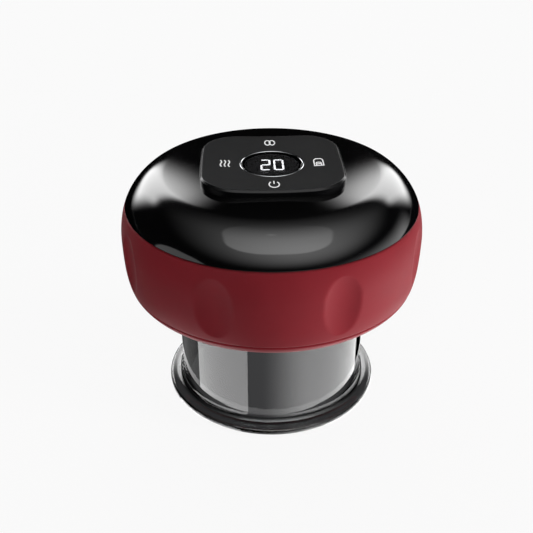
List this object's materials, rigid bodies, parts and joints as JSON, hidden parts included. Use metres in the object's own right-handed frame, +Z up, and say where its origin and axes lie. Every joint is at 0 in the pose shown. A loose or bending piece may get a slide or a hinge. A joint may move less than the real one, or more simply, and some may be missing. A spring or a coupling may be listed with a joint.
{
  "type": "electric cupping massager",
  "caption": "Hand-held electric suction cupping massager: domed body with control panel over a clear flanged cup.",
  "frame": {"origin": "centre of the cup's flange, on the plane that rests on the skin", "axes": "+Z up along the body's axis, -Y towards the front of the control panel, +X to its right"},
  "size_m": [0.109, 0.109, 0.0914],
  "materials": {
    "dome_gloss": "black, polished",
    "panel_matte": "dark grey, fine satin",
    "icon_white": "white, translucent",
    "ring_chrome": "polished",
    "lens_glass": "smoked, polished",
    "module_black": "moulded",
    "segment_light": "lit white",
    "board_green": "solder resist",
    "switch_black": "moulded",
    "plunger_white": "moulded",
    "band_red": "soft-touch paint",
    "cover_red": "soft-touch paint",
    "seat_dark": "moulded",
    "seal_silicone": "silicone",
    "plate_aluminium": "brushed",
    "film_amber": "polyimide film",
    "window_clear": "tinted, clear",
    "led_red": "clear red resin",
    "pipe_plastic": "moulded",
    "felt_white": "felt",
    "cup_clear": "clear polycarbonate, polished",
    "chassis_plastic": "moulded",
    "cell_wrap": "shrink film",
    "steel_plain": "bright",
    "magnet_grey": "sintered",
    "armature_steel": "laminated, wound",
    "bush_brass": "sintered",
    "cap_plastic": "moulded",
    "pump_plastic": "moulded",
    "diaphragm_rubber": "moulded",
    "coil_copper": "enamelled wire",
    "hose_silicone": "silicone",
    "sensor_black": "moulded",
    "frame_black": "polished",
    "screw_steel": "zinc plated",
    "part_black": "moulded",
    "lead_red": "PVC",
    "lead_blue": "PVC"
  },
  "bodies": {
    "housing": {"air_manifold": "pipe_plastic", "battery_cell": "cell_wrap", "battery_leads": "lead_red", "board_parts": "part_black", "bottom_cover": "cover_red", "buzzer": "sensor_black", "case_screws": "screw_steel", "charge_board": "board_green", "chassis": "chassis_plastic", "control_panel": "panel_matte", "cup_seat": "seat_dark", "display_lens": "lens_glass", "display_module": "module_black", "display_ring": "ring_chrome", "display_segments": "segment_light", "dome_cover": "dome_gloss", "grip_band": "band_red", "heater_film": "film_amber", "heating_plate": "plate_aluminium", "icon_windows": "icon_white", "key_switches": "switch_black", "led_board": "board_green", "light_window": "window_clear", "main_board": "board_green", "motor_bushes": "bush_brass", "motor_can": "steel_plain", "motor_end_cap": "cap_plastic", "motor_leads": "lead_blue", "motor_magnets": "magnet_grey", "port_frame": "frame_black", "pressure_sensor": "sensor_black", "pump_bracket": "steel_plain", "pump_cap": "pump_plastic", "pump_diaphragm": "diaphragm_rubber", "pump_head": "pump_plastic", "pump_hose": "hose_silicone", "red_leds": "led_red", "seal_ring": "seal_silicone", "sensor_hose": "hose_silicone", "small_screws": "screw_steel", "suction_elbow": "pipe_plastic", "suction_hose": "hose_silicone", "usb_socket": "steel_plain", "valve_base": "pipe_plastic", "valve_coil": "coil_copper", "valve_frame": "steel_plain", "valve_hose": "hose_silicone", "valve_spring": "steel_plain"},
    "cup_body": {"cup": "cup_clear"},
    "filter": {"filter_cap": "seat_dark", "filter_pad": "felt_white"},
    "power_key": {"power_plunger": "plunger_white"},
    "mode_key": {"mode_plunger": "plunger_white"},
    "heat_key": {"heat_plunger": "plunger_white"},
    "cupping_key": {"cupping_plunger": "plunger_white"},
    "pump_rotor": {"motor_shaft": "steel_plain", "motor_armature": "armature_steel", "pump_eccentric": "cap_plastic"},
    "valve_pin": {"valve_plunger": "steel_plain"}
  },
  "joints": [
    {"name": "cup_pull", "type": "slide", "parent": "housing", "child": "cup_body", "axis": [0, 0, -1], "range_m": [0, 0.02]},
    {"name": "filter_pull", "type": "slide", "parent": "housing", "child": "filter", "axis": [0, 0, -1], "range_m": [0, 0.006]},
    {"name": "power_press", "type": "slide", "parent": "housing", "child": "power_key", "axis": [0, 0, -1], "range_m": [0, 0.00025], "stiffness_N_per_m": 900, "springref_m": -0.001},
    {"name": "mode_press", "type": "slide", "parent": "housing", "child": "mode_key", "axis": [0, 0, -1], "range_m": [0, 0.00025], "stiffness_N_per_m": 900, "springref_m": -0.001},
    {"name": "heat_press", "type": "slide", "parent": "housing", "child": "heat_key", "axis": [0, 0, -1], "range_m": [0, 0.00025], "stiffness_N_per_m": 900, "springref_m": -0.001},
    {"name": "cupping_press", "type": "slide", "parent": "housing", "child": "cupping_key", "axis": [0, 0, -1], "range_m": [0, 0.00025], "stiffness_N_per_m": 900, "springref_m": -0.001},
    {"name": "rotor_turn", "type": "hinge", "parent": "housing", "child": "pump_rotor", "pos_m": [0, -0.0085, 0.0693], "axis": [1, 0, 0], "continuous": true},
    {"name": "valve_lift", "type": "slide", "parent": "housing", "child": "valve_pin", "axis": [0, 0, 1], "range_m": [0, 0.001], "stiffness_N_per_m": 120, "springref_m": -0.002, "deforming": ["valve_spring"]}
  ]
}
